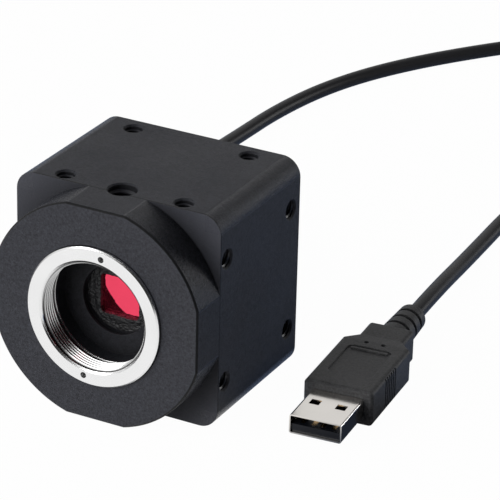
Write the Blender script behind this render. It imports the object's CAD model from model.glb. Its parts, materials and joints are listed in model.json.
"""Finish of a machine vision camera: materials, threads, lead and stage around its CAD solids.

Laid out as a Blender add-on. Metres, in the frame of the solids: +Z is up, the lens side
faces -Y and the origin is the bottom centre of the camera body.
"""
import json
import math

import bmesh
import bpy
from bpy.props import FloatProperty, FloatVectorProperty, IntProperty, PointerProperty
from mathutils import Matrix, Vector, noise


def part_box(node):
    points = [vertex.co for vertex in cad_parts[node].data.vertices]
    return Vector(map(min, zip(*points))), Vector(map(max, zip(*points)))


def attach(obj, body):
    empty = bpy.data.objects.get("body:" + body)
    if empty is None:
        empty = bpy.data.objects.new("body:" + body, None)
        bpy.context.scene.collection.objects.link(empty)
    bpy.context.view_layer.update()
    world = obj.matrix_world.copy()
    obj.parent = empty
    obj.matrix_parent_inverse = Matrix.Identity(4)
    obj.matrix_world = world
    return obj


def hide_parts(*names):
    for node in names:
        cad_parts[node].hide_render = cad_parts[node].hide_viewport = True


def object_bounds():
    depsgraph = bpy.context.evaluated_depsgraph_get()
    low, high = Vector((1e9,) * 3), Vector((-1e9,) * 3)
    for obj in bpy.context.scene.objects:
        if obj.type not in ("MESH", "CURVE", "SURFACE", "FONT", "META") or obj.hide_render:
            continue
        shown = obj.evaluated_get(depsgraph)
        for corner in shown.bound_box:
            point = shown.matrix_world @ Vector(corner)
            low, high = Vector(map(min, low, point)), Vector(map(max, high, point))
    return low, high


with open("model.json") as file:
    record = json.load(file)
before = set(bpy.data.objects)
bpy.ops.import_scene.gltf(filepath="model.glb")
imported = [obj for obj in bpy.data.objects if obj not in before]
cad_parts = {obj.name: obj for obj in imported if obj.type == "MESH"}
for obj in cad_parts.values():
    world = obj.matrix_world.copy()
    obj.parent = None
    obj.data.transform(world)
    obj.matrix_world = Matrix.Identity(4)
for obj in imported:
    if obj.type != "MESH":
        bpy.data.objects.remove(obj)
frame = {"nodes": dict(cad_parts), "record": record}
CAD_LOW, CAD_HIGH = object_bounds()

bl_info = {
    "name": "Machine vision camera",
    "version": (1, 0, 0),
    "blender": (4, 5, 0),
    "location": "View3D > Sidebar > Vision Camera",
    "description": "Dresses the camera's solids and adds its threads, lead and stage",
    "category": "Object",
}

MM = 0.001
BODY = "root"

# Faces and axes of the housing, read from the solids.
HOUSING_LOW, HOUSING_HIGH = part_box("housing")
RING_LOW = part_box("lens_mount_ring")[0]
GASKET_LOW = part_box("filter_gasket")[0]
MID_HEIGHT = (HOUSING_LOW.z + HOUSING_HIGH.z) / 2
LENS_CENTRE = Vector((0, RING_LOW.y, MID_HEIGHT))

# The housing's faces: radii about the lens, and depths behind the front of the nose.
NOSE_RADIUS = 26 * MM
NOSE_BEVEL = (0.01 * MM, 0.39 * MM)
STEP_DEPTH = 9.5 * MM
STEP_EDGE = (STEP_DEPTH + 0.02 * MM, STEP_DEPTH + 0.42 * MM)
THROAT_RADIUS = 13.7 * MM
THROAT_START = 6 * MM
THROAT_END = 30.5 * MM
# Out from the middle of the body.
LONG_EDGE_START = 21 * MM
HOLE_FLOOR_HEIGHT = 17.55 * MM

# Holes and their threads. A thread's start and end are measured in from the hole's mouth.
SIDE_HOLE_OFFSET = 14.5 * MM
SIDE_HOLE_ROWS = (-10 * MM, 19 * MM)
SIDE_HOLE_MIDDLE = 4.5 * MM
SCREW_HOLE_RADIUS = 2.0 * MM
SCREW_DRILL_RADIUS = 1.65 * MM
SCREW_THREAD_END = 4.6 * MM
LOW_RIDGE_SHARE = 0.55
COUNTERSINK_RADIUS = 2.4 * MM
TRIPOD_ROW = -10.7 * MM
TRIPOD_HOLE_RADIUS = 3.175 * MM
TRIPOD_THREAD_START = 0.3 * MM
TRIPOD_THREAD_END = 6.5 * MM
LENS_THREAD_RADIUS = 12.7 * MM
LENS_THREAD_START = 0.12 * MM
LENS_THREAD_END = 5.1 * MM
KEY_HOLE_RADIUS = 0.7 * MM
KEY_HOLE_CIRCLE = 14.3 * MM
KEY_HOLE_ANGLE = 81.5
KEY_HOLE_TURN = math.radians(KEY_HOLE_ANGLE)
KEY_HOLE_DIRECTION = Vector((math.cos(KEY_HOLE_TURN), 0, math.sin(KEY_HOLE_TURN)))
KEY_HOLE_PLACE = LENS_CENTRE + KEY_HOLE_DIRECTION * KEY_HOLE_CIRCLE
THREAD_ROOT_OVERLAP = 0.03 * MM
THREAD_SECTION = ((1.0, -0.44), (0.0, -0.09), (0.0, 0.09), (1.0, 0.44))
RUN_OUT_TURN = 0.2

# Route of the lead's loose part, the same points as the solid's.
COIL_CENTRE = Vector((-42, 69, 0)) * MM
COIL_TURN_RADII = (24.9 * MM, 21.1 * MM, 17.3 * MM, 13.5 * MM)
COIL_LAST_ARC_RADIUS = 28.7 * MM
COIL_TOP_Z = 6.8 * MM
COIL_BOTTOM_Z = 3.0 * MM
COIL_ENTRY_ANGLE = 48
COIL_EXIT_ANGLE = 43
COIL_TURNS = 8
# Degrees wound since the entry at which the lead first steps inward, drops, and first steps
# outward, and over which one step is taken.
COIL_INWARD_ANGLE = 335
COIL_DROP_ANGLE = 1390
COIL_OUTWARD_ANGLE = 1725
COIL_STEP_ANGLE = 25
COIL_STUB = 14.5 * MM
COIL_APPROACH = 19.6 * MM
COIL_LEAVE = 30.5 * MM
BOOT_EXIT = Vector((0, 35.5, 12.5)) * MM
BOOT_RUN = Vector((0, 45.3, 12.5)) * MM
FLOOR_ROUTE = (
    (-44.9, 127.5), (-44.2, 146.7), (-40.8, 167), (-33.9, 186), (-22, 206.5), (-3, 231),
    (22, 247.5), (46, 235.5), (52, 209.5), (43.5, 182.5), (36.5, 153), (35.3, 122.5), (37.2, 90),
)
FLOOR_ROUTE_Z = 1.9 * MM
PLUG_NOSE = Vector((46.35, -8.75, 4.2)) * MM
PLUG_TURN = 5
PLUG_LENGTH = 58.9 * MM
PLUG_RUN = 15 * MM

# Lamps, and the sides on which the room and the floor are dark. A fade in the room is given in
# cosines of the angle to its side, and one on the floor in metres.
WHITE = (1.0, 1.0, 1.0)
BLACK = (0.0, 0.0, 0.0)
MID_BODY = Vector((0, 0, 0.02))
KEY_PLACE = Vector((-1.1, -1.9, 1.0))
KEY_SIZE = (2.6, 2.6)
BACK_PLACE = Vector((1.15, 1.42, 0.36))
BACK_SIZE = (0.5, 0.7)
AMBIENT_COLOUR = (0.95, 0.97, 1.0)
AMBIENT_BRIGHT = 1.7
AMBIENT_DIM = 0.05
DARK_AMBIENT_SIDE = Vector((0.9, 0.05, 0.35))
DARK_AMBIENT_FADE = (-0.6, 0.4)
ROOM_COLOUR = (0.8, 0.8, 0.8)
ROOM_DIM = 0.02
DARK_ROOM_SIDE = Vector((0.73, -0.58, 0.34))
DARK_ROOM_FADE = (-0.2, 0.4)
CORNER_DIM = 0.05
DARK_ROOM_CORNER = Vector((0.45, 0.78, 0.44))
DARK_CORNER_FADE = (0.90, 0.98)
DARK_FLOOR_COLOUR = (0.23, 0.30, 0.46)
DARK_FLOOR_SIDE = Vector((0.5, 0.866, 0))
DARK_FLOOR_FADE = (0.004, 0.020)
BLACK_CARD_PLACE = Vector((0.056, 0.002, 0))
BLACK_CARD_FADE = (0.012, 0.030)
BLACK_CARD_DIM = 0.06
FLOOR_REACH = 3.0
FLOOR_GAP = 0.02 * MM


# ---- settings ---------------------------------------------------------------------------


def colour(name, description, default):
    return FloatVectorProperty(name=name, description=description, default=default,
                               subtype="COLOR", size=3, min=0.0, max=1.0)


def length(name, description, default):
    return FloatProperty(name=name, description=description, default=default, min=0.0,
                         unit="LENGTH", precision=5)


class FinishSettings(bpy.types.PropertyGroup):
    """Colours of the finishes that show."""

    anodised: colour("Housing", "Black anodised aluminium of the housing", (0.031, 0.032, 0.039))
    ring: colour("Mount ring", "Turned face of the lens mount ring", (0.84, 0.84, 0.84))
    gasket: colour("Gasket", "Rubber around the filter", (0.011, 0.011, 0.013))
    coating: colour("Filter coating", "Tint of the filter's mirror coating", (0.84, 0.062, 0.125))
    lead: colour("Lead", "Jacket of the lead", (0.028, 0.028, 0.030))
    moulding: colour("Plug moulding", "Moulded body of the plug", (0.050, 0.050, 0.052))
    shell: colour("Plug shell", "Nickel plating of the plug's shell", (0.80, 0.77, 0.73))
    tongue: colour("Plug tongue", "Plastic tongue inside the shell", (0.004, 0.005, 0.008))
    gold: colour("Contacts", "Gold plating of the plug's contacts", (0.45, 0.30, 0.14))


class ThreadSettings(bpy.types.PropertyGroup):
    """Sizes of the threads that are cut in the housing and the ring."""

    lens_pitch: length("Lens pitch", "Pitch of the lens mount thread", 0.794 * MM)
    lens_depth: length("Lens depth", "Height of the lens thread's ridge", 0.43 * MM)
    screw_pitch: length("Screw pitch", "Pitch of the M4 threads", 0.7 * MM)
    screw_depth: length("Screw depth", "Height of the M4 thread's ridge", 0.36 * MM)
    tripod_pitch: length("Tripod pitch", "Pitch of the tripod threads", 1.27 * MM)
    tripod_depth: length("Tripod depth", "Height of the tripod thread's ridge", 0.62 * MM)
    steps: IntProperty(name="Steps", description="Flats in one turn of a thread", default=64,
                       min=12, max=256)


class LeadSettings(bpy.types.PropertyGroup):
    """Sizes of the lead."""

    diameter: length("Diameter", "Outside diameter of the jacket", 3.8 * MM)
    free_length: length("Free length", "Length from the boot to the plug's relief", 1.43)
    coil_steps: IntProperty(name="Coil steps", description="Route points in one turn of the coil",
                            default=16, min=12, max=36)


class StageSettings(bpy.types.PropertyGroup):
    """Camera, lamps and floor."""

    camera_place: FloatVectorProperty(name="Camera", description="Place of the camera", size=3,
                                      default=(0.3030, -0.5347, 0.3215), subtype="TRANSLATION")
    camera_yaw: FloatProperty(name="Yaw", description="Turn of the view to the left",
                              default=math.radians(27.46), subtype="ANGLE")
    camera_pitch: FloatProperty(name="Pitch", description="Tilt of the view down",
                                default=math.radians(25.23), subtype="ANGLE")
    camera_roll: FloatProperty(name="Roll", description="Turn of the camera about its view",
                               default=math.radians(1.48), subtype="ANGLE")
    lens: FloatProperty(name="Lens", description="Focal length on a 36 mm sensor",
                        default=225.3, min=1.0, subtype="DISTANCE_CAMERA")
    floor_colour: colour("Floor", "Pale floor and backdrop", (0.9, 0.9, 0.9))
    key_power: FloatProperty(name="Key lamp", description="Power of the main soft lamp",
                             default=73.0, min=0.0, unit="POWER")
    back_power: FloatProperty(name="Back lamp", description="Power of the soft lamp behind the lead",
                              default=8.0, min=0.0, unit="POWER")
    ambient: FloatProperty(name="Ambient", description="Strength of the light from all round",
                           default=0.30, min=0.0, max=1.0)
    room_white: FloatProperty(name="Room white", description="How white the room is in reflections",
                              default=1.0, min=0.0, max=1.0)
    backdrop_share: FloatProperty(name="Backdrop share", description="How far the floor is plain white",
                                  default=0.98, min=0.0, max=1.0, subtype="FACTOR")


# ---- node trees -------------------------------------------------------------------------


class Nodes:
    """One node tree, with short calls for the nodes that the finishes, floor and room share."""

    def __init__(self, tree, coordinate="Object"):
        self.tree = tree
        self.tree.nodes.clear()
        self.place = self.add("ShaderNodeTexCoord", {}).outputs[coordinate]

    def add(self, kind, inputs, **settings):
        """New node, with its own settings and with a value or a link at each named input."""
        node = self.tree.nodes.new(kind)
        for name, value in settings.items():
            setattr(node, name, value)
        for name, value in inputs.items():
            if isinstance(value, bpy.types.NodeSocket):
                self.tree.links.new(value, node.inputs[name])
            else:
                node.inputs[name].default_value = value
        return node

    def noise(self, scale, detail=3.0, rough=0.5, place=None):
        inputs = {"Scale": scale, "Detail": detail, "Roughness": rough, "Vector": place or self.place}
        return self.add("ShaderNodeTexNoise", inputs).outputs["Fac"]

    def cells(self, scale, feature="DISTANCE_TO_EDGE"):
        inputs = {"Scale": scale, "Vector": self.place}
        return self.add("ShaderNodeTexVoronoi", inputs, feature=feature).outputs["Distance"]

    def math(self, operation, *values):
        return self.add("ShaderNodeMath", dict(enumerate(values)), operation=operation).outputs[0]

    def vector(self, operation, *values):
        return self.add("ShaderNodeVectorMath", dict(enumerate(values)), operation=operation).outputs

    def spread(self, value, low, high, start=0.0, end=1.0, smooth=False):
        """Maps a value from start..end to low..high, held at both ends."""
        inputs = {"Value": value, "From Min": start, "From Max": end, "To Min": low, "To Max": high}
        curve = "SMOOTHSTEP" if smooth else "LINEAR"
        return self.add("ShaderNodeMapRange", inputs, interpolation_type=curve).outputs["Result"]

    def past(self, value, edge, soft):
        """1 where a value is past an edge, 0 where it is short of it, softened each way."""
        return self.spread(value, 0.0, 1.0, edge - soft, edge + soft)

    def short_of(self, value, edge, soft):
        """1 where a value is short of an edge, 0 where it is past it, softened each way."""
        return self.spread(value, 1.0, 0.0, edge - soft, edge + soft)

    def side_fade(self, side, start, end, low, high):
        """Value that goes smoothly from low to high along a direction, between two distances."""
        along = self.vector("DOT_PRODUCT", self.place, side.normalized())["Value"]
        return self.spread(along, low, high, start, end, smooth=True)

    def blend(self, value, first, second):
        """Colour between the first and the second, as a value goes from 0 to 1."""
        inputs = {0: value}
        for index, tint in ((6, first), (7, second)):
            inputs[index] = tint if isinstance(tint, bpy.types.NodeSocket) else (*tint, 1.0)
        return self.add("ShaderNodeMix", inputs, data_type="RGBA").outputs[2]

    def mixed(self, value, first, second):
        """Shader between the first and the second, as a value goes from 0 to 1."""
        return self.add("ShaderNodeMixShader", {0: value, 1: first, 2: second}).outputs[0]

    def axis(self, name):
        """One coordinate of the place on the surface."""
        return self.add("ShaderNodeSeparateXYZ", {0: self.place}).outputs[name]

    def stretched(self, factors):
        """Place on the surface, scaled by a factor along each axis."""
        return self.vector("MULTIPLY", self.place, factors)[0]

    def radius_about(self, centre):
        """Distance from the line through the centre that runs from front to rear."""
        away = self.vector("SUBTRACT", self.place, centre)[0]
        return self.vector("LENGTH", self.vector("MULTIPLY", away, (1.0, 0.0, 1.0))[0])["Value"]

    def depth_behind(self, front):
        """Distance behind a front face."""
        return self.math("SUBTRACT", self.axis("Y"), front)

    def away(self, name, middle):
        """Distance along an axis from a place on it, the same each way."""
        return self.math("ABSOLUTE", self.math("SUBTRACT", self.axis(name), middle))

    def folded(self, name, middle, offset):
        """Distance along an axis from either of two places, offset each way from a middle."""
        return self.math("ABSOLUTE", self.math("SUBTRACT", self.away(name, middle), offset))

    def within(self, first, second, radius, soft):
        """1 inside a circle about the point where two distances are both nought, 0 outside."""
        first_square = self.math("MULTIPLY", first, first)
        second_square = self.math("MULTIPLY", second, second)
        away = self.math("SQRT", self.math("ADD", first_square, second_square))
        return self.spread(away, 1.0, 0.0, radius - soft, radius)

    def corners(self, reach):
        """1 deep in an inside corner, 0 on open faces that are farther from it than the reach."""
        node = self.add("ShaderNodeAmbientOcclusion", {"Distance": reach}, samples=8, only_local=True)
        return self.spread(node.outputs["AO"], 1.0, 0.0, 0.5, 1.0)

    def shadowed(self, base, mask, share):
        """A colour made darker by a share where a mask is 1."""
        return self.blend(self.math("MULTIPLY", mask, share), base, BLACK)


class Finish(Nodes):
    """One material on the principled shader."""

    def __init__(self, name):
        self.material = bpy.data.materials.new(name)
        self.material.use_nodes = True
        super().__init__(self.material.node_tree)
        self.shader = self.add("ShaderNodeBsdfPrincipled", {})
        self.add("ShaderNodeOutputMaterial", {"Surface": self.shader.outputs["BSDF"]})

    def link(self, source, name):
        self.tree.links.new(source, self.shader.inputs[name])

    def set(self, **values):
        """Sets the shader's own sockets; a name's underscores stand for spaces."""
        for name, value in values.items():
            self.shader.inputs[name.replace("_", " ")].default_value = value

    def tint(self, source):
        self.link(source, "Base Color")

    def roughen(self, source):
        self.link(source, "Roughness")

    def round_edges(self, radius):
        """Softens the look of sharp edges over a radius; comes before any embossing."""
        node = self.add("ShaderNodeBevel", {"Radius": radius}, samples=6)
        self.link(node.outputs["Normal"], "Normal")

    def emboss(self, height, depth):
        """Bump whose height of 1 stands depth metres proud; calls add up."""
        node = self.add("ShaderNodeBump", {"Height": height, "Distance": depth, "Strength": 1.0})
        under = self.shader.inputs["Normal"].links
        if under:
            self.tree.links.new(under[0].from_socket, node.inputs["Normal"])
        self.link(node.outputs["Normal"], "Normal")

    def grained(self, grain, dark, light, smooth, rough, depth):
        """Plain finish whose one grain sets its colour, roughness and bump."""
        self.tint(self.blend(grain, dark, light))
        self.roughen(self.spread(grain, smooth, rough))
        self.emboss(grain, depth)


def shaded(colour_value, factor):
    """A colour made lighter or darker."""
    return tuple(min(1.0, channel * factor) for channel in colour_value)


# ---- finishes ---------------------------------------------------------------------------


def hole_walls(finish):
    """1 on the walls of the screw and tripod holes, 0 on the open faces."""
    soft = 0.03 * MM
    screw = SCREW_HOLE_RADIUS - 0.01 * MM
    row = finish.folded("Y", SIDE_HOLE_MIDDLE, SIDE_HOLE_OFFSET)
    outer = finish.past(finish.away("Z", MID_HEIGHT), HOLE_FLOOR_HEIGHT, 0.05 * MM)
    upright = finish.within(finish.folded("X", 0.0, SIDE_HOLE_OFFSET), row, screw, soft)
    level = finish.within(finish.folded("Z", MID_HEIGHT, SIDE_HOLE_OFFSET), row, screw, soft)
    tripod = finish.within(finish.away("X", 0.0), finish.away("Y", TRIPOD_ROW),
                           TRIPOD_HOLE_RADIUS - 0.005 * MM, soft)
    end_on = finish.math("MULTIPLY", outer, finish.math("MAXIMUM", upright, tripod))
    return finish.math("MAXIMUM", end_on, level)


def machined_edges(finish):
    """1 on the polished bevel round the nose and on the broken edge of the step, else 0."""
    soft = 0.015 * MM
    depth = finish.depth_behind(HOUSING_LOW.y)
    edges = []
    for start, end in (NOSE_BEVEL, STEP_EDGE):
        past = finish.past(depth, start + soft, soft)
        edges.append(finish.math("MULTIPLY", past, finish.short_of(depth, end - soft, soft)))
    return finish.math("MAXIMUM", *edges)


def step_face(finish):
    """1 on the milled step behind the nose, else 0."""
    return finish.short_of(finish.away("Y", HOUSING_LOW.y + STEP_DEPTH), 0.015 * MM, 0.005 * MM)


def curved_faces(finish):
    """1 on the rounded long edges and the turned side of the nose, which wear smoother, else 0."""
    across = finish.past(finish.away("X", 0.0), LONG_EDGE_START, 0.1 * MM)
    height = finish.past(finish.away("Z", MID_HEIGHT), LONG_EDGE_START, 0.1 * MM)
    turned = finish.past(finish.radius_about(LENS_CENTRE), NOSE_RADIUS - 0.1 * MM, 0.05 * MM)
    ahead = finish.short_of(finish.depth_behind(HOUSING_LOW.y), STEP_DEPTH - 0.15 * MM, 0.05 * MM)
    edges = finish.math("MULTIPLY", across, height)
    return finish.math("MAXIMUM", edges, finish.math("MULTIPLY", turned, ahead))


def throat_walls(finish):
    """1 in the throat behind the lens mount, fading out at its mouth, else 0."""
    depth = finish.depth_behind(HOUSING_LOW.y)
    inside = finish.short_of(finish.radius_about(LENS_CENTRE), THROAT_RADIUS, 0.1 * MM)
    past_mouth = finish.past(depth, THROAT_START, 0.1 * MM)
    ahead_of_cover = finish.short_of(depth, THROAT_END, 0.5 * MM)
    return finish.math("MULTIPLY", inside, finish.math("MULTIPLY", past_mouth, ahead_of_cover))


def black_anodised(finish, look):
    """Blasted and black anodised aluminium: edges polished dark, holes and throat darker."""
    finish.round_edges(0.22 * MM)
    grain = finish.noise(2500, 4, 0.85)
    speck = finish.noise(6500, 2, 0.6)
    cloud = finish.noise(45, 3, 0.55)
    mottle = finish.spread(finish.noise(1150, 3, 0.8), 0.0, 1.0, 0.35, 0.65)
    pits = finish.spread(grain, 0.0, 1.0, 0.32, 0.68)
    tone = finish.math("ADD", finish.math("MULTIPLY", pits, 0.55), finish.math("MULTIPLY", cloud, 0.15))
    tone = finish.math("ADD", tone, finish.math("MULTIPLY", mottle, 0.3))
    base = finish.blend(tone, shaded(look.anodised, 0.18), shaded(look.anodised, 1.82))
    base = finish.blend(finish.math("MULTIPLY", step_face(finish), 0.75), base, shaded(look.anodised, 2.0))
    base = finish.shadowed(base, finish.corners(9 * MM), 0.6)
    base = finish.blend(machined_edges(finish), base, shaded(look.anodised, 0.12))
    base = finish.shadowed(base, throat_walls(finish), 0.4)
    finish.tint(finish.shadowed(base, hole_walls(finish), 0.75))
    worn = finish.spread(cloud, 0.46, 0.56, 0.35, 0.65)
    worn = finish.math("MULTIPLY", worn, finish.spread(curved_faces(finish), 1.0, 0.5))
    finish.roughen(finish.math("ADD", worn, finish.spread(speck, -0.06, 0.06)))
    finish.set(IOR=1.5, Specular_IOR_Level=0.16)
    finish.emboss(grain, 0.12 * MM)
    finish.emboss(speck, 0.014 * MM)


def cut_thread(finish, look):
    """Thread cut before the anodising: sharp, and a little shiny on the flanks."""
    finish.grained(finish.noise(4200, 3, 0.6), shaded(look.anodised, 0.5), shaded(look.anodised, 1.1),
                   0.34, 0.46, 0.004 * MM)
    finish.set(IOR=1.5, Specular_IOR_Level=0.4)


def turned_ring(finish, look):
    """Bright turned metal with the tool's fine rings, stained in the thread and key holes."""
    radius = finish.radius_about(LENS_CENTRE)
    depth = finish.depth_behind(RING_LOW.y)
    rings = finish.noise(1.0, 2, 0.6, place=finish.math("MULTIPLY", radius, 9000))
    grain = finish.noise(5200, 3, 0.6)
    cloud = finish.noise(160, 2, 0.5)
    face = finish.blend(cloud, shaded(look.ring, 0.95), shaded(look.ring, 1.03))
    bore = finish.math("MULTIPLY", finish.past(depth, 0.4 * MM, 0.05 * MM),
                       finish.short_of(radius, LENS_THREAD_RADIUS + 0.07 * MM, 0.03 * MM))
    stain = finish.spread(radius, 0.0, 1.0, 12.33 * MM, 12.62 * MM)
    base = finish.blend(bore, face, finish.blend(stain, shaded(look.ring, 0.66), shaded(look.ring, 0.08)))
    relief = finish.math("MULTIPLY", finish.spread(radius, 0.0, 1.0, 12.97 * MM, 13.0 * MM),
                         finish.past(depth, LENS_THREAD_END - 0.1 * MM, 0.1 * MM))
    relief = finish.math("MULTIPLY", relief, finish.short_of(radius, 13.25 * MM, 0.05 * MM))
    base = finish.blend(relief, base, shaded(look.ring, 0.16))
    spots = []
    for centre in (KEY_HOLE_PLACE, 2 * LENS_CENTRE - KEY_HOLE_PLACE):
        away = finish.radius_about(centre)
        mark = finish.short_of(away, KEY_HOLE_RADIUS, 0.04 * MM)
        spots.append(finish.math("MULTIPLY", mark, finish.spread(away, 0.45, 1.0, 0.2 * MM, 0.55 * MM)))
    finish.tint(finish.blend(finish.math("MAXIMUM", *spots), base, shaded(look.ring, 0.22)))
    finish.roughen(finish.math("ADD", finish.spread(rings, 0.20, 0.28), finish.spread(grain, -0.03, 0.03)))
    finish.set(Metallic=1.0)
    finish.emboss(rings, 0.001 * MM)
    finish.emboss(grain, 0.001 * MM)


def black_screw_steel(finish, look):
    """Oiled black oxide."""
    finish.grained(finish.noise(6000, 3, 0.6), (0.018, 0.018, 0.020), (0.05, 0.05, 0.052),
                   0.3, 0.48, 0.006 * MM)
    finish.set(Metallic=0.7)


def zinc_steel(finish, look):
    """Bright zinc plating."""
    finish.grained(finish.noise(4200, 3, 0.6), (0.52, 0.54, 0.57), (0.72, 0.73, 0.75),
                   0.22, 0.36, 0.004 * MM)
    finish.set(Metallic=1.0)


def spacer_brass(finish, look):
    """Nickel over turned brass, a little yellow where it is thin."""
    rings = finish.noise(1.0, 2, 0.6, place=finish.math("MULTIPLY", finish.axis("Y"), 8000))
    thin = finish.noise(700, 3, 0.6)
    finish.tint(finish.blend(thin, (0.72, 0.69, 0.60), (0.76, 0.66, 0.42)))
    finish.roughen(finish.spread(rings, 0.22, 0.34))
    finish.set(Metallic=1.0)
    finish.emboss(rings, 0.004 * MM)


def gasket_rubber(finish, look):
    """Soft rubber sheet, creased where it is pinched, with a dull shine on the creases."""
    warp = finish.noise(420, 4, 0.6)
    crease = finish.cells(900)
    pores = finish.noise(5200, 3, 0.6)
    finish.tint(finish.blend(warp, shaded(look.gasket, 0.4), shaded(look.gasket, 1.3)))
    finish.roughen(finish.spread(pores, 0.42, 0.62))
    finish.emboss(finish.spread(crease, 0.0, 1.0, 0.0, 0.25), 0.14 * MM)
    finish.emboss(warp, 0.45 * MM)
    finish.emboss(pores, 0.05 * MM)


def filter_glass(finish, look):
    """Cut-off filter: its coating mirrors red, and the rest of the light goes through."""
    haze = finish.noise(320, 3, 0.6)
    dust = finish.spread(finish.noise(2600, 2, 0.5), 0.0, 1.0, 0.70, 0.78)
    mirror = finish.blend(haze, shaded(look.coating, 0.94), shaded(look.coating, 1.05))
    finish.tint(finish.blend(finish.math("MULTIPLY", dust, 0.15), mirror, (0.9, 0.35, 0.42)))
    finish.roughen(finish.spread(haze, 0.015, 0.035))
    finish.set(Metallic=0.96, IOR=1.52)


def holder_plastic(finish, look):
    """Matt black moulding."""
    finish.grained(finish.noise(3600, 3, 0.6), (0.018, 0.018, 0.019), (0.034, 0.034, 0.036),
                   0.6, 0.75, 0.012 * MM)


def sensor_ceramic(finish, look):
    """Dark fired ceramic."""
    finish.grained(finish.noise(4200, 4, 0.6), (0.07, 0.055, 0.05), (0.12, 0.10, 0.09),
                   0.5, 0.66, 0.006 * MM)


def silicon(finish, look):
    """Polished die: its rows of light cells give it a faint shift of colour."""
    rows = finish.noise(1.0, 1, 0.5, place=finish.math("MULTIPLY", finish.axis("Z"), 30000))
    sweep = finish.noise(260, 2, 0.5)
    finish.tint(finish.blend(sweep, (0.16, 0.10, 0.24), (0.10, 0.22, 0.20)))
    finish.roughen(finish.spread(rows, 0.08, 0.2))
    finish.set(Metallic=0.8)


def cover_glass(finish, look):
    """Clear lid of the sensor."""
    haze = finish.noise(500, 2, 0.5)
    finish.tint(finish.blend(haze, (0.93, 0.97, 0.97), (0.98, 1.0, 1.0)))
    finish.roughen(finish.spread(haze, 0.01, 0.04))
    finish.set(Transmission_Weight=0.9, IOR=1.5)


def board_green(finish, look):
    """Green solder mask over glass cloth and copper."""
    weave = finish.noise(1.0, 2, 0.5, place=finish.stretched((2600, 400, 2600)))
    copper = finish.cells(260, "F1")
    tone = finish.math("ADD", finish.math("MULTIPLY", weave, 0.5), finish.spread(copper, 0.0, 0.5, 0.0, 0.6))
    finish.tint(finish.blend(tone, (0.012, 0.075, 0.03), (0.035, 0.17, 0.07)))
    finish.roughen(finish.spread(weave, 0.28, 0.42))
    finish.emboss(weave, 0.01 * MM)


def connector_plastic(finish, look):
    """Glass-filled nylon."""
    finish.grained(finish.noise(3000, 3, 0.6), (0.02, 0.02, 0.021), (0.045, 0.044, 0.042),
                   0.42, 0.58, 0.01 * MM)


def capacitor_ceramic(finish, look):
    """Tan chip with tinned ends."""
    finish.grained(finish.noise(5000, 3, 0.6), (0.30, 0.20, 0.12), (0.44, 0.31, 0.20),
                   0.4, 0.55, 0.006 * MM)


def chip_epoxy(finish, look):
    """Moulded epoxy of a chip."""
    finish.grained(finish.noise(6500, 3, 0.6), (0.014, 0.014, 0.016), (0.03, 0.03, 0.033),
                   0.5, 0.66, 0.008 * MM)


def crystal_can(finish, look):
    """Drawn metal can."""
    draw = finish.noise(1.0, 2, 0.6, place=finish.stretched((4000, 500, 4000)))
    finish.grained(draw, (0.62, 0.62, 0.60), (0.76, 0.76, 0.74), 0.2, 0.32, 0.003 * MM)
    finish.set(Metallic=1.0)


def connector_white(finish, look):
    """Off-white nylon housing."""
    finish.grained(finish.noise(3000, 3, 0.6), (0.66, 0.63, 0.55), (0.76, 0.73, 0.65),
                   0.4, 0.55, 0.008 * MM)


def wire_sleeves(finish, look):
    """Thin jacket of the inner wires."""
    finish.grained(finish.noise(2400, 3, 0.6), (0.32, 0.05, 0.04), (0.45, 0.09, 0.07),
                   0.36, 0.5, 0.006 * MM)


def lead_pvc(finish, look):
    """Satin black jacket, drawn along the lead."""
    drawn = finish.noise(1500, 2, 0.5)
    cloud = finish.noise(70, 2, 0.5)
    finish.tint(finish.blend(drawn, shaded(look.lead, 0.95), shaded(look.lead, 1.06)))
    finish.roughen(finish.math("ADD", finish.spread(cloud, 0.36, 0.40), finish.spread(drawn, -0.02, 0.02)))
    finish.set(Specular_IOR_Level=0.12)
    finish.emboss(drawn, 0.0003 * MM)


def boot_pvc(finish, look):
    """Softer black moulding of the boot."""
    finish.grained(finish.noise(2800, 4, 0.65), shaded(look.moulding, 0.8), shaded(look.moulding, 1.15),
                   0.5, 0.64, 0.014 * MM)
    finish.set(Specular_IOR_Level=0.2)


def plug_pvc(finish, look):
    """Spark-textured black moulding, with a fine parting line at mid height."""
    spark = finish.spread(finish.noise(1500, 4, 0.8), 0.0, 1.0, 0.3, 0.7)
    cloud = finish.noise(120, 2, 0.5)
    finish.round_edges(0.28 * MM)
    finish.tint(finish.blend(spark, shaded(look.moulding, 0.35), shaded(look.moulding, 1.65)))
    finish.roughen(finish.math("ADD", finish.spread(cloud, 0.46, 0.56), finish.spread(spark, -0.05, 0.05)))
    finish.set(Specular_IOR_Level=0.2)
    parting = finish.spread(finish.away("Z", PLUG_NOSE.z), 1.0, 0.0, 0.04 * MM, 0.11 * MM, smooth=True)
    finish.emboss(spark, 0.022 * MM)
    finish.emboss(parting, 0.05 * MM)


def tie_nylon(finish, look):
    """Black nylon strap."""
    finish.grained(finish.noise(2600, 3, 0.6), (0.02, 0.02, 0.021), (0.04, 0.04, 0.042),
                   0.4, 0.55, 0.012 * MM)


def plug_nickel(finish, look):
    """Polished nickel with the faint drag marks of the press."""
    drag = finish.noise(1.0, 3, 0.6, place=finish.stretched((5200, 260, 5200)))
    cloud = finish.noise(180, 2, 0.5)
    finish.tint(finish.blend(cloud, shaded(look.shell, 0.95), shaded(look.shell, 1.04)))
    finish.roughen(finish.math("ADD", finish.spread(drag, 0.13, 0.20), finish.spread(cloud, -0.02, 0.02)))
    finish.set(Metallic=1.0)
    finish.emboss(drag, 0.0012 * MM)


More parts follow.
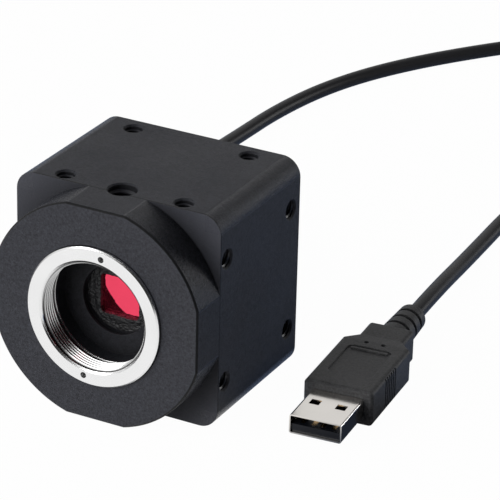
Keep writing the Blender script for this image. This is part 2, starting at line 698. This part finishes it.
def tongue_plastic(finish, look):
    """Dark blue-grey plastic of the tongue."""
    finish.grained(finish.noise(3400, 3, 0.6), shaded(look.tongue, 0.85), shaded(look.tongue, 1.25),
                   0.3, 0.44, 0.006 * MM)
    finish.set(Specular_IOR_Level=0.3)


def contact_gold(finish, look):
    """Gold flash over nickel."""
    wipe = finish.noise(1.0, 2, 0.5, place=finish.stretched((7000, 600, 7000)))
    finish.tint(finish.blend(wipe, shaded(look.gold, 0.86), shaded(look.gold, 1.05)))
    finish.roughen(finish.spread(wipe, 0.18, 0.3))
    finish.set(Metallic=1.0)


FINISHES = {
    maker.__name__: maker
    for maker in (
        black_anodised, cut_thread, turned_ring, black_screw_steel, zinc_steel, spacer_brass,
        gasket_rubber, filter_glass, holder_plastic, sensor_ceramic, silicon, cover_glass,
        board_green, connector_plastic, capacitor_ceramic, chip_epoxy, crystal_can,
        connector_white, wire_sleeves, lead_pvc, boot_pvc, plug_pvc, tie_nylon, plug_nickel,
        tongue_plastic, contact_gold,
    )
}


def material_for(slot, context):
    """The finish of a slot, made once."""
    made = bpy.data.materials.get("finish_" + slot)
    if made:
        return made
    finish = Finish("finish_" + slot)
    FINISHES[slot](finish, context.scene.camera_finishes)
    return finish.material


def dress_nodes(names, context):
    """Gives solids the finish that the record names for each."""
    slots = {part["node"]: part["material_slot"] for part in frame["record"]["subparts"]}
    for name in names:
        material = material_for(slots[name], context)
        for place in frame["nodes"][name].material_slots:
            place.material = material


def smooth_mesh(name, shape):
    """Mesh of a closed shape, shaded smooth."""
    bmesh.ops.recalc_face_normals(shape, faces=shape.faces)
    data = bpy.data.meshes.new(name)
    shape.to_mesh(data)
    shape.free()
    for face in data.polygons:
        face.use_smooth = True
    return data


def add_piece(name, data, slot, context, finish=None):
    """Adds a shown piece that moves with the body; its finish is the slot's own unless named."""
    piece = bpy.data.objects.new(name, data)
    context.scene.collection.objects.link(piece)
    piece.data.materials.append(material_for(finish or slot, context))
    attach(piece, BODY)
    return piece


# ---- threads ----------------------------------------------------------------------------


def join_rows(mesh, rows):
    """Faces between closed rows of points, each joined to the next."""
    for before, after in zip(rows, rows[1:]):
        for index in range(len(before)):
            other = (index + 1) % len(before)
            mesh.faces.new((before[index], before[other], after[other], after[index]))


def add_thread(mesh, mouth, axis, wall, start, end, pitch, depth, steps):
    """Adds a right-hand ridge inside a round hole.

    mouth is the centre of the hole's opening, axis points out of it, and start and end are
    depths below the opening.
    """
    axis = Vector(axis).normalized()
    across = axis.orthogonal().normalized()
    up = axis.cross(across)
    turns = (end - start - pitch) / pitch
    count = max(2, int(turns * steps))
    rows = []
    for step in range(count + 1):
        turn = turns * step / count
        fade = min(1.0, turn / RUN_OUT_TURN, (turns - turn) / RUN_OUT_TURN)
        angle = 2 * math.pi * turn
        radial = across * math.cos(angle) - up * math.sin(angle)
        centre = mouth - axis * (start + pitch / 2 + pitch * turn)
        outer = wall + THREAD_ROOT_OVERLAP
        inner = wall + THREAD_ROOT_OVERLAP - (depth + THREAD_ROOT_OVERLAP) * max(fade, 0.05)
        row = []
        for side, offset in THREAD_SECTION:
            radius = outer if side else inner
            row.append(mesh.verts.new(centre + radial * radius + axis * (offset * pitch)))
        rows.append(row)
    join_rows(mesh, rows)
    mesh.faces.new(rows[0])
    mesh.faces.new(list(reversed(rows[-1])))


def thread_piece(name, slot, holes, context, finish=None):
    """One piece with the threads of several like holes."""
    mesh = bmesh.new()
    for hole in holes:
        add_thread(mesh, *hole)
    data = smooth_mesh(name, mesh)
    data.set_sharp_from_angle(angle=math.radians(35))
    return add_piece(name, data, slot, context, finish)


def side_holes(face):
    """Mouths of the four M4 holes in one face of the housing."""
    level = {"top": HOUSING_HIGH.z, "bottom": HOUSING_LOW.z, "right": HOUSING_HIGH.x, "left": HOUSING_LOW.x}
    mouths = []
    for row in SIDE_HOLE_ROWS:
        for offset in (-SIDE_HOLE_OFFSET, SIDE_HOLE_OFFSET):
            if face in ("top", "bottom"):
                mouths.append(Vector((offset, row, level[face])))
            else:
                mouths.append(Vector((level[face], row, MID_HEIGHT + offset)))
    return mouths


def lens_threads(threads, context):
    hole = (LENS_CENTRE, (0, -1, 0), LENS_THREAD_RADIUS, LENS_THREAD_START, LENS_THREAD_END,
            threads.lens_pitch, threads.lens_depth, 2 * threads.steps)
    return thread_piece("lens_mount_thread", "turned_ring", [hole], context)


def screw_threads(threads, context):
    """M4 threads: full ridges in the top and right holes, the drill's size in the others."""
    pieces = []
    faces = (
        ("top", (0, 0, 1), SCREW_HOLE_RADIUS, 1.0),
        ("right", (1, 0, 0), SCREW_HOLE_RADIUS, 1.0),
        ("bottom", (0, 0, -1), SCREW_DRILL_RADIUS, LOW_RIDGE_SHARE),
        ("left", (-1, 0, 0), SCREW_DRILL_RADIUS, LOW_RIDGE_SHARE),
    )
    for face, axis, wall, share in faces:
        start = COUNTERSINK_RADIUS - wall
        holes = []
        for mouth in side_holes(face):
            holes.append((mouth, axis, wall, start, SCREW_THREAD_END, threads.screw_pitch,
                          threads.screw_depth * share, threads.steps))
        pieces.append(thread_piece("screw_threads_" + face, "black_anodised", holes, context,
                                   "cut_thread"))
    return pieces


def tripod_threads(threads, context):
    holes = []
    for height, out in ((HOUSING_HIGH.z, 1), (HOUSING_LOW.z, -1)):
        holes.append((Vector((0, TRIPOD_ROW, height)), (0, 0, out), TRIPOD_HOLE_RADIUS,
                      TRIPOD_THREAD_START, TRIPOD_THREAD_END, threads.tripod_pitch,
                      threads.tripod_depth, threads.steps))
    return thread_piece("tripod_threads", "black_anodised", holes, context, "cut_thread")


# ---- gasket -----------------------------------------------------------------------------


def gasket_folds(context):
    """Creased skin on the gasket, from the window's edge out under the aperture."""
    window = (4.75 * MM, 4.65 * MM)
    reach = 8.6 * MM
    lift = 0.42 * MM
    raggedness = 0.16 * MM
    outer_swell = 0.35
    squareness = 9
    around = 160
    rings = 22
    mesh = bmesh.new()
    rows = []
    for ring in range(rings + 1):
        share = ring / rings
        row = []
        for step in range(around):
            angle = 2 * math.pi * step / around
            direction = Vector((math.cos(angle), 0, math.sin(angle)))
            share_x = abs(direction.x) / window[0]
            share_z = abs(direction.z) / window[1]
            edge = 1 / (share_x ** squareness + share_z ** squareness) ** (1 / squareness)
            edge += raggedness * noise.noise(Vector((math.cos(angle), math.sin(angle), 0)) * 6)
            radius = edge + (reach - edge) * share
            place = Vector((0, GASKET_LOW.y, MID_HEIGHT)) + direction * radius
            swell = outer_swell
            if share < 0.6:
                swell = math.sin(math.pi * min(1.0, share * 1.6 + 0.08) ** 0.6)
            crease = abs(noise.noise(place * 900)) + 0.6 * abs(noise.noise(place * 2100))
            place.y -= lift * swell * (0.25 + 0.75 * min(1.0, 1.6 * crease))
            row.append(mesh.verts.new(place))
        rows.append(row)
    back = []
    for row in (rows[0], rows[-1]):
        back.append([mesh.verts.new(Vector((v.co.x, GASKET_LOW.y + 0.05 * MM, v.co.z))) for v in row])
    join_rows(mesh, [back[0], *rows, back[1], back[0]])
    return add_piece("gasket_folds", smooth_mesh("gasket_folds", mesh), "gasket_rubber", context)


# ---- lead -------------------------------------------------------------------------------


def on_coil(angle, radius, z):
    turn = math.radians(angle)
    return COIL_CENTRE + Vector((radius * math.cos(turn), radius * math.sin(turn), z))


def coil_direction(angle):
    turn = math.radians(angle)
    return Vector((-math.sin(turn), math.cos(turn), 0))


def eased(value):
    value = max(0.0, min(1.0, value))
    return value * value * (3 - 2 * value)


def coil_place(angle):
    """Radius and height of the lead at an angle along its winding.

    The top layer is wound from the outside in, drops, and the bottom layer is wound out
    again. A turn steps to the next one over a short arc.
    """
    wound = angle - COIL_ENTRY_ANGLE
    inward = (COIL_INWARD_ANGLE, COIL_TURN_RADII)
    outward = (COIL_OUTWARD_ANGLE, (*reversed(COIL_TURN_RADII), COIL_LAST_ARC_RADIUS))
    radius = COIL_TURN_RADII[0]
    for first, radii in (inward, outward):
        for turn, (before, after) in enumerate(zip(radii, radii[1:])):
            radius += (after - before) * eased((wound - first - 360 * turn) / COIL_STEP_ANGLE)
    dropped = eased((wound - COIL_DROP_ANGLE) / COIL_STEP_ANGLE)
    return radius, COIL_TOP_Z + (COIL_BOTTOM_Z - COIL_TOP_Z) * dropped


def plug_point(along):
    """Point on the plug's axis, measured from its nose to the rear."""
    turn = math.radians(PLUG_TURN)
    return PLUG_NOSE + Vector((-math.sin(turn), math.cos(turn), 0)) * along


def lead_route(coil_steps):
    """Route points of the lead, from the boot through the coil and over the floor to the plug."""
    entry_direction = coil_direction(COIL_ENTRY_ANGLE)
    entry = on_coil(COIL_ENTRY_ANGLE, COIL_TURN_RADII[0], COIL_TOP_Z) - entry_direction * COIL_STUB
    points = [BOOT_EXIT, BOOT_RUN, entry - entry_direction * COIL_APPROACH, entry]
    last = COIL_TURNS * 360 + COIL_EXIT_ANGLE
    step = 360 / coil_steps
    outside = 1 / math.cos(math.radians(step / 2))
    for index in range(int((last - COIL_ENTRY_ANGLE) / step) + 1):
        angle = COIL_ENTRY_ANGLE + (index + 0.5) * step
        if angle < last:
            radius, z = coil_place(angle)
            points.append(on_coil(angle, radius * outside, z))
    points.append(on_coil(COIL_EXIT_ANGLE, COIL_TURN_RADII[0], COIL_BOTTOM_Z)
                  + coil_direction(COIL_EXIT_ANGLE) * COIL_LEAVE)
    for x, y in FLOOR_ROUTE:
        points.append(Vector((x * MM, y * MM, FLOOR_ROUTE_Z)))
    points.append(plug_point(PLUG_LENGTH + PLUG_RUN))
    points.append(plug_point(PLUG_LENGTH))
    return points


def lead_curve(settings, context):
    """The lead as one smooth curve, from the boot through the coil to the plug."""
    curve = bpy.data.curves.new("usb_lead", "CURVE")
    curve.dimensions = "3D"
    spline = curve.splines.new("NURBS")
    route = lead_route(settings.coil_steps)
    spline.points.add(len(route) - 1)
    for point, place in zip(spline.points, route):
        point.co = (*place, 1.0)
    spline.order_u = 3
    spline.use_endpoint_u = True
    spline.resolution_u = 12
    curve.bevel_depth = settings.diameter / 2
    curve.bevel_resolution = 5
    curve.use_fill_caps = True
    return add_piece("usb_lead", curve, "lead_pvc", context)


# ---- stage ------------------------------------------------------------------------------


def place_camera(stage, context):
    yaw, pitch, roll = stage.camera_yaw, stage.camera_pitch, stage.camera_roll
    ahead = Vector((-math.sin(yaw) * math.cos(pitch), math.cos(yaw) * math.cos(pitch), -math.sin(pitch)))
    right = Vector((math.cos(yaw), math.sin(yaw), 0))
    up = right.cross(ahead)
    turned_right = right * math.cos(roll) + up * math.sin(roll)
    turned_up = up * math.cos(roll) - right * math.sin(roll)
    data = bpy.data.cameras.new("view_camera")
    data.lens = stage.lens
    data.sensor_width = 36
    data.clip_start = 0.01
    view = bpy.data.objects.new("view_camera", data)
    context.scene.collection.objects.link(view)
    turn = Matrix((turned_right, turned_up, -ahead)).transposed().to_4x4()
    view.matrix_world = Matrix.Translation(stage.camera_place) @ turn
    context.scene.camera = view


def soft_lamp(name, place, size, power, context):
    """Adds a soft lamp that points at the middle of the body."""
    data = bpy.data.lights.new(name, "AREA")
    data.shape = "RECTANGLE"
    data.size, data.size_y = size
    data.energy = power
    lamp = bpy.data.objects.new(name, data)
    context.scene.collection.objects.link(lamp)
    lamp.location = place
    lamp.rotation_euler = (MID_BODY - place).to_track_quat("-Z", "Y").to_euler()


def light_world(stage, context):
    """Even light for the surfaces, a white room for the camera, and a half-dark one for gloss."""
    world = bpy.data.worlds.new("white_room")
    context.scene.world = world
    world.use_nodes = True
    room = Nodes(world.node_tree, "Generated")
    seen = room.add("ShaderNodeLightPath", {}).outputs
    light = room.side_fade(DARK_AMBIENT_SIDE, *DARK_AMBIENT_FADE, AMBIENT_BRIGHT * stage.ambient,
                           AMBIENT_DIM * stage.ambient)
    side = room.side_fade(DARK_ROOM_SIDE, *DARK_ROOM_FADE, stage.room_white, ROOM_DIM)
    corner = room.side_fade(DARK_ROOM_CORNER, *DARK_CORNER_FADE, 1.0, CORNER_DIM)
    shades = []
    for colour_value, strength in (
        (AMBIENT_COLOUR, light), (ROOM_COLOUR, room.math("MULTIPLY", side, corner)), (WHITE, 1.0),
    ):
        inputs = {"Color": (*colour_value, 1.0), "Strength": strength}
        shades.append(room.add("ShaderNodeBackground", inputs).outputs[0])
    ambient, gloss, backdrop = shades
    lit = room.mixed(seen["Is Glossy Ray"], ambient, gloss)
    plain = room.math("MAXIMUM", seen["Is Camera Ray"], seen["Is Transmission Ray"])
    room.add("ShaderNodeOutputWorld", {"Surface": room.mixed(plain, lit, backdrop)})


def floor_material(stage):
    """Pale paper: white to the camera but for the object's soft shadow, lit as it is to the rest.

    In reflections it is white on the lamps' side and dark on the other, as in a studio with
    a black card beside the object.
    """
    material = bpy.data.materials.new("pale_floor")
    material.use_nodes = True
    floor = Nodes(material.node_tree)
    seen = floor.add("ShaderNodeLightPath", {}).outputs
    paper = floor.add("ShaderNodeBsdfDiffuse", {"Color": (*stage.floor_colour, 1.0)})
    white = floor.add("ShaderNodeEmission", {"Color": (*WHITE, 1.0)})
    pale = floor.side_fade(DARK_FLOOR_SIDE, *DARK_FLOOR_FADE, 1.0, 0.0)
    near = floor.vector("DISTANCE", floor.place, BLACK_CARD_PLACE)["Value"]
    card = floor.add("ShaderNodeEmission", {
        "Color": floor.blend(pale, DARK_FLOOR_COLOUR, WHITE),
        "Strength": floor.spread(near, BLACK_CARD_DIM, 1.0, *BLACK_CARD_FADE),
    })
    lit = floor.mixed(seen["Is Glossy Ray"], paper.outputs[0], card.outputs[0])
    share = floor.math("MULTIPLY", seen["Is Camera Ray"], stage.backdrop_share)
    surface = floor.mixed(share, lit, white.outputs[0])
    floor.add("ShaderNodeOutputMaterial", {"Surface": surface})
    return material


def lay_floor(stage, context):
    mesh = bmesh.new()
    bmesh.ops.create_grid(mesh, x_segments=1, y_segments=1, size=FLOOR_REACH)
    data = bpy.data.meshes.new("pale_floor")
    mesh.to_mesh(data)
    mesh.free()
    data.materials.append(floor_material(stage))
    floor = bpy.data.objects.new("pale_floor", data)
    context.scene.collection.objects.link(floor)
    floor.location.z = CAD_LOW.z - FLOOR_GAP


# ---- operators --------------------------------------------------------------------------


class VISIONCAMERA_OT_stage(bpy.types.Operator):
    """Adds the view camera, the lamps, the white room and the floor"""

    bl_idname = "vision_camera.stage"
    bl_label = "Stage"

    def execute(self, context):
        stage = context.scene.camera_stage
        place_camera(stage, context)
        soft_lamp("key_lamp", KEY_PLACE, KEY_SIZE, stage.key_power, context)
        soft_lamp("back_lamp", BACK_PLACE, BACK_SIZE, stage.back_power, context)
        light_world(stage, context)
        lay_floor(stage, context)
        context.scene.view_settings.view_transform = "Standard"
        return {"FINISHED"}


class VISIONCAMERA_OT_lead(bpy.types.Operator):
    """Replaces the lead's solids with one smooth cord, and finishes the boot, tie and plug on it"""

    bl_idname = "vision_camera.lead"
    bl_label = "Lead"

    def execute(self, context):
        settings = context.scene.camera_lead
        on_lead = ["strain_relief_boot", "coil_tie", "plug_moulding", "plug_shell", "plug_tongue",
                   "plug_contacts"]
        dress_nodes(on_lead, context)
        lead = lead_curve(settings, context)
        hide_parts("usb_lead_in", "usb_lead_coil", "usb_lead_out")
        return {"FINISHED"}


class VISIONCAMERA_OT_housing(bpy.types.Operator):
    """Finishes the housing, the rear cover and the cover's screws"""

    bl_idname = "vision_camera.housing"
    bl_label = "Housing"

    def execute(self, context):
        dress_nodes(["housing", "rear_cover", "rear_cover_screws"], context)
        return {"FINISHED"}


class VISIONCAMERA_OT_threads(bpy.types.Operator):
    """Cuts the threads of the M4 and tripod holes"""

    bl_idname = "vision_camera.threads"
    bl_label = "Screw and tripod threads"

    def execute(self, context):
        threads = context.scene.camera_threads
        screw_threads(threads, context)
        tripod_threads(threads, context)
        return {"FINISHED"}


class VISIONCAMERA_OT_lens_mount(bpy.types.Operator):
    """Finishes the lens mount ring and cuts its thread"""

    bl_idname = "vision_camera.lens_mount"
    bl_label = "Lens mount"

    def execute(self, context):
        dress_nodes(["lens_mount_ring"], context)
        lens_threads(context.scene.camera_threads, context)
        return {"FINISHED"}


class VISIONCAMERA_OT_filter(bpy.types.Operator):
    """Finishes the filter, its holder and the creased gasket"""

    bl_idname = "vision_camera.filter"
    bl_label = "Filter and gasket"

    def execute(self, context):
        dress_nodes(["filter_gasket", "ir_cut_filter", "filter_holder"], context)
        gasket_folds(context)
        return {"FINISHED"}


class VISIONCAMERA_OT_electronics(bpy.types.Operator):
    """Finishes the sensor, the boards and the parts on them"""

    bl_idname = "vision_camera.electronics"
    bl_label = "Electronics"

    def execute(self, context):
        dress_nodes([
            "image_sensor", "sensor_die", "sensor_cover_glass", "sensor_board", "interface_board",
            "board_spacers", "board_screws", "connector_header", "connector_socket",
            "chip_capacitors", "usb_controller_chip", "memory_chip", "crystal", "lead_header",
            "lead_socket", "signal_wires",
        ], context)
        return {"FINISHED"}


class VISIONCAMERA_PT_parts(bpy.types.Panel):
    """Lists the camera's pieces and their settings"""

    bl_idname = "VISIONCAMERA_PT_parts"
    bl_label = "Vision Camera"
    bl_space_type = "VIEW_3D"
    bl_region_type = "UI"
    bl_category = "Vision Camera"

    def draw(self, context):
        for piece in PIECES:
            self.layout.operator(piece.bl_idname)
        for label, group in SETTINGS:
            box = self.layout.box()
            box.label(text=label)
            settings = getattr(context.scene, group)
            for name in settings.__annotations__:
                box.prop(settings, name)


PIECES = (
    VISIONCAMERA_OT_stage, VISIONCAMERA_OT_lead, VISIONCAMERA_OT_housing, VISIONCAMERA_OT_threads,
    VISIONCAMERA_OT_lens_mount, VISIONCAMERA_OT_filter, VISIONCAMERA_OT_electronics,
)
SETTINGS = (
    ("Finishes", "camera_finishes"), ("Threads", "camera_threads"), ("Lead", "camera_lead"),
    ("Stage", "camera_stage"),
)
GROUPS = (FinishSettings, ThreadSettings, LeadSettings, StageSettings)


def register():
    for part in (*GROUPS, *PIECES, VISIONCAMERA_PT_parts):
        bpy.utils.register_class(part)
    for (label, name), group in zip(SETTINGS, GROUPS):
        setattr(bpy.types.Scene, name, PointerProperty(type=group))


def unregister():
    for label, name in SETTINGS:
        delattr(bpy.types.Scene, name)
    for part in (VISIONCAMERA_PT_parts, *reversed(PIECES), *reversed(GROUPS)):
        bpy.utils.unregister_class(part)


def main():
    register()
    bpy.ops.vision_camera.stage()
    bpy.ops.vision_camera.lead()
    bpy.ops.vision_camera.housing()
    bpy.ops.vision_camera.threads()
    bpy.ops.vision_camera.lens_mount()
    bpy.ops.vision_camera.filter()
    bpy.ops.vision_camera.electronics()


if __name__ == "__main__":
    main()
